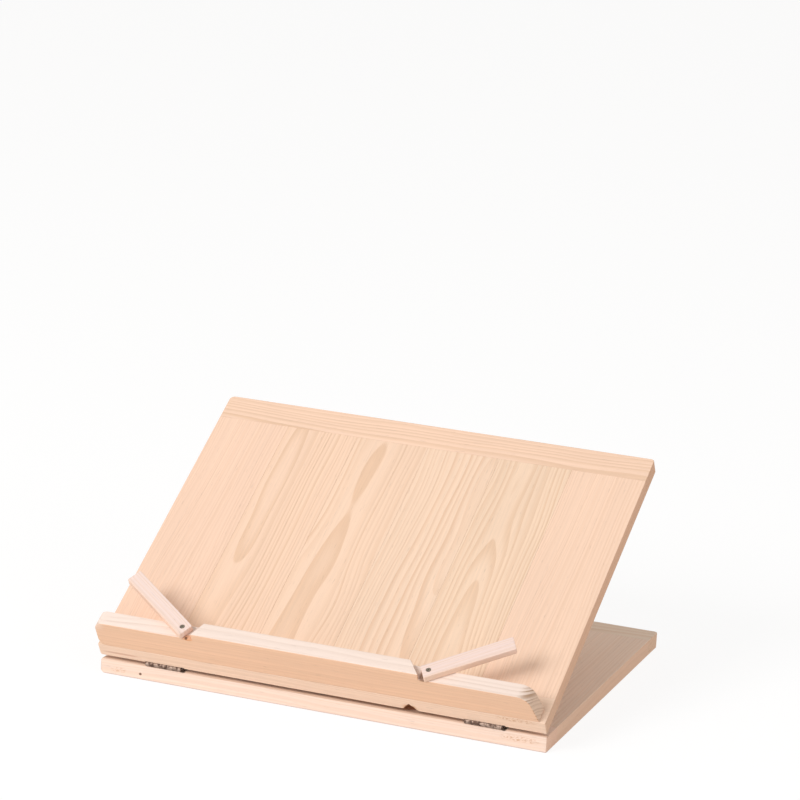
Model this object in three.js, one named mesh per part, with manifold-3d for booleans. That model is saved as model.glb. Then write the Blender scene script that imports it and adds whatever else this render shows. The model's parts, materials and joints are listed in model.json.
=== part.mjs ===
// A folding pine book stand: a base panel, a book rest hinged to its front edge, a ledge with
// two turning page clips, and a prop flap that stands up out of a window in the base.
// Millimetres, +Z up. The origin lies on the table, under the middle of the whole stand.
import * as THREE from 'three';
import { mergeVertices } from 'three/addons/utils/BufferGeometryUtils.js';
import Module from 'manifold-3d';

const wasm = await Module();
wasm.setup();

// Driving dimensions of the two panels
const panel_width = 312;
const panel_depth = 240;
const base_thickness = 11;
const rest_thickness = 10.5;
const panel_gap = 1.9;
const rest_tilt_deg = 30.9;
const cleat_width = 21;
const staves_per_panel = 6;
const panel_corners = { front_left: 0.8, front_right: 0.8, rear_right: 2.5, rear_left: 4 };
const glue_line = 0.1;

// Driving dimensions of the ledge and its page clips
const ledge_thickness = 11.5;
const ledge_low_height = 20.8;
const ledge_left_end = { inset: 1.5, lean: 0, foot_radius: 3, top_radius: 6 };
const ledge_right_end = { inset: 3.7, lean: 6, foot_radius: 0.6, top_radius: 12 };
const clip_width = 10.8;
const clip_thickness = 4.5;
const clip_end_radius = 1;
const clip_end_lean = 1.2;
const clip_turn_deg = 36;
const clip_pivot_inset = 4.5;
const left_clip = { length: 66.2, pivot_inset: 62.5, step_front_reach: 7.5, step_back_reach: 13 };
const right_clip = { length: 62.4, pivot_inset: 73.3, step_front_reach: 5.2, step_back_reach: 14 };

// Driving dimensions of the prop flap, its window and the grooves that its tip stands in
const prop_pivot_y = 108;
const prop_thickness = 10;
const prop_turns_per_tilt = 2.1;
const prop_side_clearance = 1;
const prop_end_clearance = 0.4;
const tip_clearance = 0.3;
const window_staves = 2;
const groove_tilts_deg = [20, rest_tilt_deg, 40, 50, 60];
const groove_depth = 3;

// Driving dimensions of the butt hinges
const front_hinge = {
  length: 25, leaf_width: 12, leaf_thickness: 0.8, barrel_radius: 1.6, pin_radius: 0.8,
  screw_end_inset: 4.5, screw_inset: 7.2, screw_length: 8, seat_spare: 2.6, knuckles: 5,
};
const prop_hinge = {
  length: 22, leaf_width: 11, leaf_thickness: 0.7, barrel_radius: 1.3, pin_radius: 0.65,
  screw_end_inset: 5, screw_inset: 6.4, screw_length: 7, seat_spare: 0.5, knuckles: 3,
};
const left_front_hinge_inset = 45.5;
const right_front_hinge_inset = 43;
const prop_hinge_inset = 20;
const prop_axis_rise = 0.2;
const running_gap = 0.3;
const pin_clearance = 0.15;

// Driving dimensions of the screws
const hinge_screw = { shank_radius: 1.1, head_radius: 2.1, head_height: 0.75 };
const clip_screw = { shank_radius: 1.1, head_radius: 1.6, head_height: 1.1, length: 16 };
const ledge_screw = { shank_radius: 1.6, head_radius: 3.2, head_height: 2, length: 26 };
const ledge_screw_inset = 14;
const screw_clearance = 0.2;
const screw_point_share = 0.25;
const drive_width_share = 0.22;
const drive_span_share = 1.2;
const drive_depth_share = 0.5;

// A small chip, left by a knot, in the lower front edge of the book rest
const chip = { end_inset: 93, half_width: 4.5, height: 5.5, depth: 3 };

const cut_overrun = 1;
const weld_tolerance = 0.00001;
const round_segments = 16;
const corner_segments = 12;

const radians = Math.PI / 180;
const rest_tilt = rest_tilt_deg * radians;
const half_width = panel_width / 2;
const ledge_left_x = ledge_left_end.inset - half_width;
const ledge_right_x = half_width - ledge_right_end.inset;
const hinge_axis_z = base_thickness + panel_gap / 2;
const rest_underside = panel_gap / 2;
const rest_top = rest_underside + rest_thickness;
const ledge_high_height = ledge_low_height + running_gap + clip_thickness;
const stave_width = panel_width / staves_per_panel;
const window_half_width = stave_width * window_staves / 2;
const first_window_stave = (staves_per_panel - window_staves) / 2;
const prop_axis_z = base_thickness + prop_axis_rise;
const prop_hinge_x = window_half_width - prop_hinge_inset;
const chip_x = half_width - chip.end_inset;
const prop_turn = rest_tilt * prop_turns_per_tilt;

// Where the pieces that come in pairs or threes lie along X, counted in from the ends
const front_hinge_places = [
  { name: 'left', x: left_front_hinge_inset - half_width },
  { name: 'right', x: half_width - right_front_hinge_inset },
];
const prop_hinge_places = [{ name: 'left', x: -prop_hinge_x }, { name: 'right', x: prop_hinge_x }];
const ledge_screw_places = [
  { name: 'left', x: ledge_left_x + ledge_screw_inset },
  { name: 'middle', x: 0 },
  { name: 'right', x: ledge_right_x - ledge_screw_inset },
];

// A clip's pivot, and the ends of the ledge's taller middle beside it, in front and behind
function clipSide(name, clip, ledge_end_x, outward) {
  const pivot_x = ledge_end_x - outward * clip.pivot_inset;
  return {
    name, outward, pivot_x,
    length: clip.length,
    step_front_x: pivot_x - outward * clip.step_front_reach,
    step_back_x: pivot_x - outward * clip.step_back_reach,
  };
}
const clip_sides = [
  clipSide('left', left_clip, ledge_left_x, -1), clipSide('right', right_clip, ledge_right_x, 1),
];

const stave_pine = { color: 0xecc8a4, roughness: 0.62, metalness: 0 };
const cleat_pine = { color: 0xf5d3b6, roughness: 0.62, metalness: 0 };
const ledge_pine = { color: 0xedbe94, roughness: 0.58, metalness: 0 };
const clip_pine = { color: 0xfce6d4, roughness: 0.55, metalness: 0 };
const steel = { color: 0x8d8f92, roughness: 0.35, metalness: 1 };
const dark_steel = { color: 0x3b3630, roughness: 0.45, metalness: 1 };

// Distance of the prop's pivot line from the plane of the hinge axis, below it
const pivot_drop = hinge_axis_z - prop_axis_z;

// The prop is as long as brings its tip just under the book rest at the tilt of the photograph
function propLength() {
  const between = prop_turn - rest_tilt;
  const reach = rest_underside + prop_pivot_y * Math.sin(rest_tilt) + pivot_drop * Math.cos(rest_tilt)
    + prop_axis_rise * Math.cos(between) - tip_clearance;
  return reach / Math.sin(between);
}
const prop_length = propLength();

// Place of the prop's tip along the book rest, at a given tilt
function tipPlace(tilt) {
  const between = tilt * (prop_turns_per_tilt - 1);
  return prop_pivot_y * Math.cos(tilt) - pivot_drop * Math.sin(tilt)
    + prop_length * Math.cos(between) + prop_axis_rise * Math.sin(between);
}

function solidOf(geometry) {
  const plain = geometry.clone();
  plain.deleteAttribute('normal');
  plain.deleteAttribute('uv');
  const merged = mergeVertices(plain, weld_tolerance);
  return new wasm.Manifold(new wasm.Mesh({
    numProp: 3,
    vertProperties: new Float32Array(merged.attributes.position.array),
    triVerts: new Uint32Array(merged.index.array),
  }));
}

function geometryOf(solid) {
  const mesh = solid.getMesh();
  const geometry = new THREE.BufferGeometry();
  geometry.setAttribute('position', new THREE.BufferAttribute(mesh.vertProperties, 3));
  geometry.setIndex(new THREE.BufferAttribute(mesh.triVerts, 1));
  geometry.computeVertexNormals();
  return geometry;
}

function block(x0, x1, y0, y1, z0, z1) {
  const geometry = new THREE.BoxGeometry(x1 - x0, y1 - y0, z1 - z0);
  geometry.translate((x0 + x1) / 2, (y0 + y1) / 2, (z0 + z1) / 2);
  return solidOf(geometry);
}

// A round bar along X
function barX(radius, x0, x1, y, z) {
  const geometry = new THREE.CylinderGeometry(radius, radius, x1 - x0, round_segments);
  geometry.rotateZ(Math.PI / 2);
  geometry.translate((x0 + x1) / 2, y, z);
  return solidOf(geometry);
}

// An outline in the YZ plane, carried along X
function prismX(points, x0, x1) {
  const shape = new THREE.Shape(points.map(([y, z]) => new THREE.Vector2(y, z)));
  const geometry = new THREE.ExtrudeGeometry(shape, { depth: x1 - x0, bevelEnabled: false });
  geometry.applyMatrix4(new THREE.Matrix4().set(0, 0, 1, x0, 1, 0, 0, 0, 0, 1, 0, 0, 0, 0, 0, 1));
  return solidOf(geometry);
}

// An outline in plan, raised from z0 to z1
function slab(shape, z0, z1) {
  const settings = { depth: z1 - z0, bevelEnabled: false, curveSegments: corner_segments };
  const geometry = new THREE.ExtrudeGeometry(shape, settings);
  geometry.translate(0, 0, z0);
  return solidOf(geometry);
}

// A convex outline through its corners, counter-clockwise, each [x, y, radius of its rounding]
function roundedOutline(corners) {
  const shape = new THREE.Shape();
  corners.forEach(([x, y, radius], i) => {
    const [x_before, y_before] = corners.at(i - 1);
    const [x_after, y_after] = corners[(i + 1) % corners.length];
    const angle_in = Math.atan2(y - y_before, x - x_before);
    const angle_out = Math.atan2(y_after - y, x_after - x);
    const turn = (angle_out - angle_in + 2 * Math.PI) % (2 * Math.PI);
    const back = radius * Math.tan(turn / 2);
    const x_start = x - back * Math.cos(angle_in);
    const y_start = y - back * Math.sin(angle_in);
    if (i === 0) shape.moveTo(x_start, y_start);
    else shape.lineTo(x_start, y_start);
    if (radius) {
      const x_centre = x_start - radius * Math.sin(angle_in);
      const y_centre = y_start + radius * Math.cos(angle_in);
      shape.absarc(x_centre, y_centre, radius, angle_in - Math.PI / 2, angle_out - Math.PI / 2);
    }
  });
  return shape;
}

function place(group, name, solid, finish) {
  const mesh = new THREE.Mesh(geometryOf(solid), new THREE.MeshStandardMaterial(finish));
  mesh.name = name;
  group.add(mesh);
}

// A countersunk screw along Z: its head's face lies at the origin and its point at -length
function screwSolid(screw, length) {
  const shank_end = -length * (1 - screw_point_share);
  const profile = [
    [0, 0], [screw.head_radius, 0], [screw.shank_radius, -screw.head_height],
    [screw.shank_radius, shank_end], [0, -length],
  ].map(([r, z]) => new THREE.Vector2(r, z)).reverse();
  const geometry = new THREE.LatheGeometry(profile, round_segments);
  geometry.rotateX(Math.PI / 2);
  const half_span = screw.shank_radius * drive_span_share;
  const half_slot = screw.head_radius * drive_width_share;
  const floor = -screw.head_height * drive_depth_share;
  const cross = block(-half_span, half_span, -half_slot, half_slot, floor, cut_overrun)
    .add(block(-half_slot, half_slot, -half_span, half_span, floor, cut_overrun));
  return solidOf(geometry).subtract(cross);
}

// The hole for that screw, a little wider and deeper, with its mouth carried outward
function screwHole(screw, length) {
  const wide = screw.head_radius + screw_clearance;
  const narrow = screw.shank_radius + screw_clearance;
  const profile = [
    [0, cut_overrun], [wide, cut_overrun], [wide, 0], [narrow, -screw.head_height - screw_clearance],
    [narrow, -length - screw_clearance], [0, -length - screw_clearance],
  ].map(([r, z]) => new THREE.Vector2(r, z)).reverse();
  const geometry = new THREE.LatheGeometry(profile, round_segments);
  geometry.rotateX(Math.PI / 2);
  return solidOf(geometry);
}

// Turns a screw or hole over, so that its head faces down
function upsideDown(solid) {
  return solid.rotate([180, 0, 0]);
}

// X places of a hinge's two screws
function screwPlaces(hinge) {
  const x = hinge.length / 2 - hinge.screw_end_inset;
  return [{ name: 'a', x: -x }, { name: 'b', x }];
}

// X ranges of a hinge's knuckles, with a running gap between them
function knuckleRanges(hinge) {
  const pitch = hinge.length / hinge.knuckles;
  const start = -hinge.length / 2;
  return Array.from({ length: hinge.knuckles }, (_, i) => [
    start + pitch * i + (i > 0 ? running_gap / 2 : 0),
    start + pitch * (i + 1) - (i < hinge.knuckles - 1 ? running_gap / 2 : 0),
  ]);
}

// One leaf of a butt hinge, with its axis along X at the origin and its wood side at z = -radius.
// reach is the side, along Y, to which the plate lies. The outer leaf has the knuckles at both
// ends and every second one between them, and the inner leaf has the others.
function leafSolid(hinge, reach, outer) {
  const r = hinge.barrel_radius;
  const half = hinge.length / 2;
  const y_far = reach * hinge.leaf_width;
  let leaf = block(-half, half, Math.min(0, y_far), Math.max(0, y_far), -r, -r + hinge.leaf_thickness);
  const own = knuckleRanges(hinge).filter((_, i) => (i % 2 === 0) === outer);
  const others = knuckleRanges(hinge).filter((_, i) => (i % 2 === 0) !== outer);
  for (const [x0, x1] of others) {
    leaf = leaf.subtract(barX(r + running_gap, x0 - running_gap / 2, x1 + running_gap / 2, 0, 0));
  }
  for (const [x0, x1] of own) leaf = leaf.add(barX(r, x0, x1, 0, 0));
  leaf = leaf.subtract(barX(hinge.pin_radius + pin_clearance, -half - cut_overrun, half + cut_overrun, 0, 0));
  for (const { x } of screwPlaces(hinge)) {
    const hole = screwHole(hinge_screw, hinge.screw_length);
    leaf = leaf.subtract(hole.translate([x, reach * hinge.screw_inset, -r + hinge.leaf_thickness]));
  }
  return leaf;
}

// What the wood gives up for that leaf: its seat, its screws and the barrel's running room.
// The seat is cut a little too long at its right end.
function leafSeat(hinge, reach) {
  const r = hinge.barrel_radius;
  const x0 = -hinge.length / 2 - running_gap;
  const x1 = hinge.length / 2 + hinge.seat_spare;
  const y_far = reach * (hinge.leaf_width + running_gap);
  let seat = block(x0, x1, Math.min(0, y_far), Math.max(0, y_far), -r - running_gap, cut_overrun)
    .add(barX(r + running_gap, x0, x1, 0, 0));
  for (const { x } of screwPlaces(hinge)) {
    const hole = screwHole(hinge_screw, hinge.screw_length);
    seat = seat.add(hole.translate([x, reach * hinge.screw_inset, -r + hinge.leaf_thickness]));
  }
  return seat;
}

function pinSolid(hinge) {
  return barX(hinge.pin_radius, -hinge.length / 2, hinge.length / 2, 0, 0);
}

// The staves of a panel, edge to edge, between its two cleats
function staveRange(index) {
  const x0 = -half_width + stave_width * index;
  return [x0 + glue_line / 2, x0 + stave_width - glue_line / 2];
}
const staves_from = cleat_width + glue_line;
const staves_to = panel_depth - cleat_width - glue_line;

// The stand's own group puts y = 0 at the base's front face, and is moved so that the middle of
// the whole depth, from the leaning ledge to the base's rear, comes to the origin
const ledge_foot = rest_top + glue_line;
const clip_seat = ledge_foot + ledge_low_height + running_gap;
const clip_top = clip_seat + clip_thickness;
const ledge_overhang = clip_top * Math.sin(rest_tilt);
const book_stand = new THREE.Group();
const stand = new THREE.Group();
stand.position.y = (ledge_overhang - panel_depth) / 2;
book_stand.add(stand);

// The base panel
const base_seats = front_hinge_places.map(({ x }) => leafSeat(front_hinge, 1).translate([x, 0, hinge_axis_z]));
const prop_seats = prop_hinge_places.map(({ x }) => leafSeat(prop_hinge, -1)
  .translate([x, prop_pivot_y, prop_axis_z]));

function cleatSolid(front, z0, z1) {
  const y0 = front ? 0 : panel_depth - cleat_width;
  const y1 = y0 + cleat_width;
  return slab(roundedOutline([
    [-half_width, y0, front ? panel_corners.front_left : 0],
    [half_width, y0, front ? panel_corners.front_right : 0],
    [half_width, y1, front ? 0 : panel_corners.rear_right],
    [-half_width, y1, front ? 0 : panel_corners.rear_left],
  ]), z0, z1);
}

let base_front = cleatSolid(true, 0, base_thickness);
for (const seat of base_seats) base_front = base_front.subtract(seat);
place(stand, 'base_front_cleat', base_front, cleat_pine);
place(stand, 'base_rear_cleat', cleatSolid(false, 0, base_thickness), cleat_pine);

const window_front_y = prop_pivot_y - prop_end_clearance;
for (let i = 0; i < staves_per_panel; i += 1) {
  const [x0, x1] = staveRange(i);
  const by_window = i >= first_window_stave && i < first_window_stave + window_staves;
  const y1 = by_window ? window_front_y : staves_to;
  let stave = block(x0, x1, staves_from, y1, 0, base_thickness);
  if (by_window) for (const seat of prop_seats) stave = stave.subtract(seat);
  place(stand, `base_stave_${i + 1}`, stave, stave_pine);
}

// The book rest, in a group that turns about the front hinge axis
const rest = new THREE.Group();
rest.position.set(0, 0, hinge_axis_z);
rest.rotation.x = rest_tilt;
stand.add(rest);

const ledge_screw_holes = ledge_screw_places.map(({ x }) => upsideDown(screwHole(ledge_screw, ledge_screw.length))
  .translate([x, ledge_thickness / 2, rest_underside]));

let rest_front = cleatSolid(true, rest_underside, rest_top);
for (const { x } of front_hinge_places) {
  const seat = upsideDown(leafSeat(front_hinge, -1));
  rest_front = rest_front.subtract(seat.translate([x, 0, 0]));
}
for (const hole of ledge_screw_holes) rest_front = rest_front.subtract(hole);

// The chip is a three-sided notch, open below and in front
function chipSolid() {
  const below = cut_overrun;
  const spread = chip.half_width * (1 + below / chip.height);
  const shape = new THREE.Shape([
    new THREE.Vector2(chip_x - spread, rest_underside - below),
    new THREE.Vector2(chip_x + spread, rest_underside - below),
    new THREE.Vector2(chip_x, rest_underside + chip.height),
  ]);
  const geometry = new THREE.ExtrudeGeometry(shape, { depth: chip.depth + cut_overrun, bevelEnabled: false });
  geometry.rotateX(Math.PI / 2);
  geometry.translate(0, chip.depth, 0);
  return solidOf(geometry);
}
rest_front = rest_front.subtract(chipSolid());
place(rest, 'rest_front_cleat', rest_front, cleat_pine);
place(rest, 'rest_rear_cleat', cleatSolid(false, rest_underside, rest_top), cleat_pine);

// Each groove is cut square to the prop as it stands there: one wall stops the prop's end,
// and the other lies along its face
function grooveSolid(tilt, x0, x1) {
  const between = tilt * (prop_turns_per_tilt - 1);
  const y = tipPlace(tilt);
  const deep = groove_depth + cut_overrun;
  return prismX([
    [y - deep / Math.tan(between), rest_underside - cut_overrun],
    [y + deep * Math.tan(between), rest_underside - cut_overrun],
    [y, rest_underside + groove_depth],
  ], x0, x1);
}

for (let i = 0; i < staves_per_panel; i += 1) {
  const [x0, x1] = staveRange(i);
  let stave = block(x0, x1, staves_from, staves_to, rest_underside, rest_top);
  if (i >= first_window_stave && i < first_window_stave + window_staves) {
    for (const tilt of groove_tilts_deg) {
      stave = stave.subtract(grooveSolid(tilt * radians, x0 - cut_overrun, x1 + cut_overrun));
    }
  }
  place(rest, `rest_stave_${i + 1}`, stave, stave_pine);
}

// The ledge: a bar with round ends, the right one leaning inward, and a taller middle whose
// ends are cut aslant
function ledgeSolid() {
  const { lean: left_lean, foot_radius: left_foot, top_radius: left_top } = ledge_left_end;
  const { lean: right_lean, foot_radius: right_foot, top_radius: right_top } = ledge_right_end;
  const front_view = roundedOutline([
    [ledge_left_x, 0, left_foot],
    [ledge_right_x, 0, right_foot],
    [ledge_right_x - right_lean, ledge_low_height, right_top],
    [ledge_left_x + left_lean, ledge_low_height, left_top],
  ]);
  const bar_geometry = new THREE.ExtrudeGeometry(front_view, {
    depth: ledge_thickness, bevelEnabled: false, curveSegments: corner_segments,
  });
  bar_geometry.rotateX(Math.PI / 2);
  bar_geometry.translate(0, ledge_thickness, 0);
  const [left, right] = clip_sides;
  const middle = new THREE.Shape([
    new THREE.Vector2(left.step_front_x, 0),
    new THREE.Vector2(right.step_front_x, 0),
    new THREE.Vector2(right.step_back_x, ledge_thickness),
    new THREE.Vector2(left.step_back_x, ledge_thickness),
  ]);
  let ledge = solidOf(bar_geometry).add(slab(middle, 0, ledge_high_height)).translate([0, 0, ledge_foot]);
  for (const hole of ledge_screw_holes) ledge = ledge.subtract(hole);
  for (const { pivot_x } of clip_sides) {
    const hole = screwHole(clip_screw, clip_screw.length);
    ledge = ledge.subtract(hole.translate([pivot_x, ledge_thickness / 2, clip_top]));
  }
  return ledge;
}
place(rest, 'ledge', ledgeSolid(), ledge_pine);

for (const { name, x } of ledge_screw_places) {
  const screw = upsideDown(screwSolid(ledge_screw, ledge_screw.length));
  place(rest, `ledge_screw_${name}`, screw.translate([x, ledge_thickness / 2, rest_underside]), steel);
}

// The page clips, each turning on its screw above the low end of the ledge. Their ends lean,
// standing out a little more at the back edge.
for (const { name, pivot_x, outward, length } of clip_sides) {
  const turned = new THREE.Group();
  turned.position.set(pivot_x, ledge_thickness / 2, clip_seat);
  turned.rotation.z = outward * clip_turn_deg * radians;
  rest.add(turned);
  const ends = [-outward * clip_pivot_inset, outward * (length - clip_pivot_inset)];
  const x0 = Math.min(...ends);
  const x1 = Math.max(...ends);
  const y1 = clip_width / 2;
  const lean = outward * clip_end_lean / 2;
  const outline = roundedOutline([[x0 - lean, -y1], [x1 - lean, -y1], [x1 + lean, y1], [x0 + lean, y1]]
    .map(([x, y]) => [x, y, clip_end_radius]));
  const hole = screwHole(clip_screw, clip_screw.length).translate([0, 0, clip_thickness]);
  place(turned, `${name}_page_clip`, slab(outline, 0, clip_thickness).subtract(hole), clip_pine);
  const screw = screwSolid(clip_screw, clip_screw.length);
  place(rest, `${name}_clip_screw`, screw.translate([pivot_x, ledge_thickness / 2, clip_top]), dark_steel);
}

// The prop flap, in a group that turns about its own hinge axis
const prop = new THREE.Group();
prop.position.set(0, prop_pivot_y, prop_axis_z);
prop.rotation.x = prop_turn;
stand.add(prop);
const prop_half_width = window_half_width - prop_side_clearance;
const prop_face = -prop_axis_rise;
let flap = block(-prop_half_width, prop_half_width, prop_end_clearance, prop_length,
  prop_face - prop_thickness, prop_face);
for (const { x } of prop_hinge_places) flap = flap.subtract(leafSeat(prop_hinge, 1).translate([x, 0, 0]));
place(prop, 'prop_flap', flap, stave_pine);

// Puts a screw in each of a leaf's holes
function addLeafScrews(group, hinge, prefix, x, reach, over, origin) {
  for (const spot of screwPlaces(hinge)) {
    const z = -hinge.barrel_radius + hinge.leaf_thickness;
    let screw = screwSolid(hinge_screw, hinge.screw_length).translate([spot.x, reach * hinge.screw_inset, z]);
    if (over) screw = upsideDown(screw);
    place(group, `${prefix}_screw_${spot.name}`, screw.translate([x, origin[0], origin[1]]), steel);
  }
}

for (const { name, x } of front_hinge_places) {
  const prefix = `${name}_front_hinge`;
  const lower = leafSolid(front_hinge, 1, true);
  place(stand, `${prefix}_base_leaf`, lower.translate([x, 0, hinge_axis_z]), steel);
  place(stand, `${prefix}_pin`, pinSolid(front_hinge).translate([x, 0, hinge_axis_z]), steel);
  addLeafScrews(stand, front_hinge, `${prefix}_base`, x, 1, false, [0, hinge_axis_z]);
  const upper = upsideDown(leafSolid(front_hinge, -1, false));
  place(rest, `${prefix}_rest_leaf`, upper.translate([x, 0, 0]), steel);
  addLeafScrews(rest, front_hinge, `${prefix}_rest`, x, -1, true, [0, 0]);
}

for (const { name, x } of prop_hinge_places) {
  const prefix = `${name}_prop_hinge`;
  const fixed = leafSolid(prop_hinge, -1, true);
  place(stand, `${prefix}_base_leaf`, fixed.translate([x, prop_pivot_y, prop_axis_z]), steel);
  place(stand, `${prefix}_pin`, pinSolid(prop_hinge).translate([x, prop_pivot_y, prop_axis_z]), steel);
  addLeafScrews(stand, prop_hinge, `${prefix}_base`, x, -1, false, [prop_pivot_y, prop_axis_z]);
  place(prop, `${prefix}_flap_leaf`, leafSolid(prop_hinge, 1, false).translate([x, 0, 0]), steel);
  addLeafScrews(prop, prop_hinge, `${prefix}_flap`, x, 1, false, [0, 0]);
}

export default book_stand;
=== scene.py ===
"""Looks of a folding pine book stand.

The boards are slabs with rounded arrises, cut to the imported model's own pieces. The hinges,
pins and screws are turned or folded surfaces. Lengths are in metres unless a name says mm.
"""

import json
import math

import bmesh
import bpy
import numpy as np
from mathutils import Euler, Matrix, Vector


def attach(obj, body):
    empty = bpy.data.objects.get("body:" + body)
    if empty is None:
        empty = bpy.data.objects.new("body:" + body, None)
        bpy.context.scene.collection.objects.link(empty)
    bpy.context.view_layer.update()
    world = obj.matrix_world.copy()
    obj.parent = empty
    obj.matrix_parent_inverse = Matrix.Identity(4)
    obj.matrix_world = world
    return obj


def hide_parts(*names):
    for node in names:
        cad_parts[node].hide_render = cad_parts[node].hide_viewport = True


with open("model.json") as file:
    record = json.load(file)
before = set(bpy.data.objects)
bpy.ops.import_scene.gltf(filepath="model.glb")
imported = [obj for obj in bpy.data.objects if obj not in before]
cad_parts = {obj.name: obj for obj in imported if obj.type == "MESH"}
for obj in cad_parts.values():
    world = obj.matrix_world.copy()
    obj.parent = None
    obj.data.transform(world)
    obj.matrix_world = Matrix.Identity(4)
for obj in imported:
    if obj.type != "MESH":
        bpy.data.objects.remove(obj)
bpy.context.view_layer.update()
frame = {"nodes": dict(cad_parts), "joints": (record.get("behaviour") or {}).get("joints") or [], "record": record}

bl_info = {
    "name": "Folding Book Stand",
    "version": (1, 0, 0),
    "blender": (4, 5, 0),
    "location": "3D View > Sidebar > Book Stand",
    "description": "Pine boards, butt hinges, page clips and screws of a folding book stand",
    "category": "Add Mesh",
}

MM = 0.001

NODES = frame["nodes"]
BODIES = frame["record"]["behaviour"]["bodies"]
BODY_OF = {node: body for body, nodes in BODIES.items() for node in nodes}
JOINTS = {joint["name"]: joint for joint in frame["joints"]}
MOUNTS = {mount["name"]: mount for mount in frame["record"]["mounts"]}
RATIO = frame["record"]["behaviour"]["couplings"][0]["ratio"]

# The fits of pieces to each other, too small for a user to change
SKIN = 0.02 * MM
MERGE = 0.001 * MM
OVERRUN = 1 * MM
ARRIS_STEPS = 5
CORNER_STEPS = 16
ROUND_STEPS = 48
SHARP_ANGLE = math.radians(32)


# Frames of the bodies, each with its origin on the body's own joint


def rest_tilt():
    """The book rest's angle to the base, from the way its upper face looks."""
    axis = MOUNTS["book_rest_face"]["axis"]
    return math.atan2(-axis[1], axis[2])


def clip_angle(joint, rest_turn):
    """How far a clip stands from the ledge's line: its lower limit, turned back."""
    along = Vector(joint["axis"]).dot(rest_turn.to_3x3() @ Vector((0, 0, 1)))
    return -math.radians(joint["range_deg"][0]) * math.copysign(1, along)


def body_frames():
    """Where each body's frame stands in the model, as the frame was packed."""
    tilt = rest_tilt()
    rest_turn = Matrix.Rotation(tilt, 4, "X")
    place = {name: Matrix.Translation(joint["pos_m"]) for name, joint in JOINTS.items()}
    frames = {
        "base": Matrix.Identity(4),
        "book_rest": place["book_rest_tilt"] @ rest_turn,
        "prop": place["prop_swing"] @ Matrix.Rotation(tilt * RATIO, 4, "X"),
    }
    for side in ("left", "right"):
        name = f"{side}_clip_turn"
        angle = clip_angle(JOINTS[name], rest_turn)
        frames[f"{side}_clip"] = place[name] @ rest_turn @ Matrix.Rotation(angle, 4, "Z")
    return frames


FRAMES = body_frames()


def vectors(items, key):
    """One property of all of a mesh's vertices or polygons, as rows of three."""
    values = np.empty(len(items) * 3, np.float32)
    items.foreach_get(key, values)
    return values.reshape(-1, 3)


def local_points(node):
    """A CAD node's vertices in the frame of its own body."""
    turn = np.array(FRAMES[BODY_OF[node]].inverted(), float)
    return vectors(NODES[node].data.vertices, "co") @ turn[:3, :3].T + turn[:3, 3]


def local_box(*nodes):
    """Lowest and highest corner of some CAD nodes of one body, in that body's frame."""
    points = np.concatenate([local_points(node) for node in nodes])
    return points.min(0), points.max(0)


# Surfaces


def linked(name, data):
    """A new object of the scene, at the origin, that holds a mesh, a lamp or a camera."""
    holder = bpy.data.objects.new(name, data)
    bpy.context.scene.collection.objects.link(holder)
    return holder


def mesh_object(name, points, faces):
    mesh = bpy.data.meshes.new(name)
    mesh.from_pydata(points.tolist(), [], faces)
    return linked(name, mesh)


def ring_faces(rows, columns):
    """Quads of a grid whose columns close into a ring; they face out of a ring that runs
    counter-clockwise as seen from the side that the rows go to."""
    row = np.arange(rows - 1)[:, None] * columns
    here = np.arange(columns)[None]
    after = (here + 1) % columns
    quads = [row + here, row + after, row + columns + after, row + columns + here]
    return np.stack(quads, -1).reshape(-1, 4).tolist()


def round_polygon(corners, radii):
    """Outline and outward normals of a convex polygon, given counter-clockwise, with round
    corners: each corner is an arc about v - r (n0 + n1) / (1 + n0 . n1), where n0 and n1 are
    the normals of the sides that meet at the corner v."""
    corners = np.array(corners, float)
    radii = np.broadcast_to(np.array(radii, float), len(corners))
    sides = np.roll(corners, -1, 0) - corners
    sides /= np.linalg.norm(sides, axis=1)[:, None]
    after = np.stack([sides[:, 1], -sides[:, 0]], -1)
    before = np.roll(after, 1, 0)
    shrink = radii / (1 + (before * after).sum(1))
    centres = corners - shrink[:, None] * (before + after)
    start = np.arctan2(before[:, 1], before[:, 0])
    turn = (np.arctan2(after[:, 1], after[:, 0]) - start) % (2 * math.pi)
    angle = start[:, None] + turn[:, None] * np.linspace(0, 1, CORNER_STEPS + 1)[None]
    normals = np.stack([np.cos(angle), np.sin(angle)], -1)
    outline = centres[:, None] + radii[:, None, None] * normals
    return outline.reshape(-1, 2), normals.reshape(-1, 2)


def rectangle(low, high, radii):
    corners = [(low[0], low[1]), (high[0], low[1]), (high[0], high[1]), (low[0], high[1])]
    return round_polygon(corners, radii)


def slab(name, shape, low, high, edge):
    """A board whose outline is carried from low to high. At an angle a of its arris, the
    outline is drawn in by edge (1 - cos a), and lies edge sin a beyond the arris's centre."""
    outline, normals = shape
    lower = np.linspace(-math.pi / 2, 0, ARRIS_STEPS + 1)
    upper = -lower[::-1]
    inset = edge * (1 - np.cos(np.concatenate([lower, upper])))
    height = np.concatenate([low + edge * (1 + np.sin(lower)), high - edge * (1 - np.sin(upper))])
    rings = outline[None] - inset[:, None, None] * normals[None]
    heights = np.broadcast_to(height[:, None, None], (len(height), len(outline), 1))
    points = np.concatenate([rings, heights], -1)
    rows, columns = points.shape[:2]
    first = list(range(columns))[::-1]
    last = list(range((rows - 1) * columns, rows * columns))
    return mesh_object(name, points.reshape(-1, 3), ring_faces(rows, columns) + [first, last])


def round_rows(radius, height, steps=ROUND_STEPS):
    """Rows of points (r cos t, r sin t, z) round Z, for a column of radii r and of heights z."""
    turn = np.linspace(0, 2 * math.pi, steps, endpoint=False)
    rows = np.broadcast_arrays(radius * np.cos(turn), radius * np.sin(turn), height)
    return np.stack(rows, -1)


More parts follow.
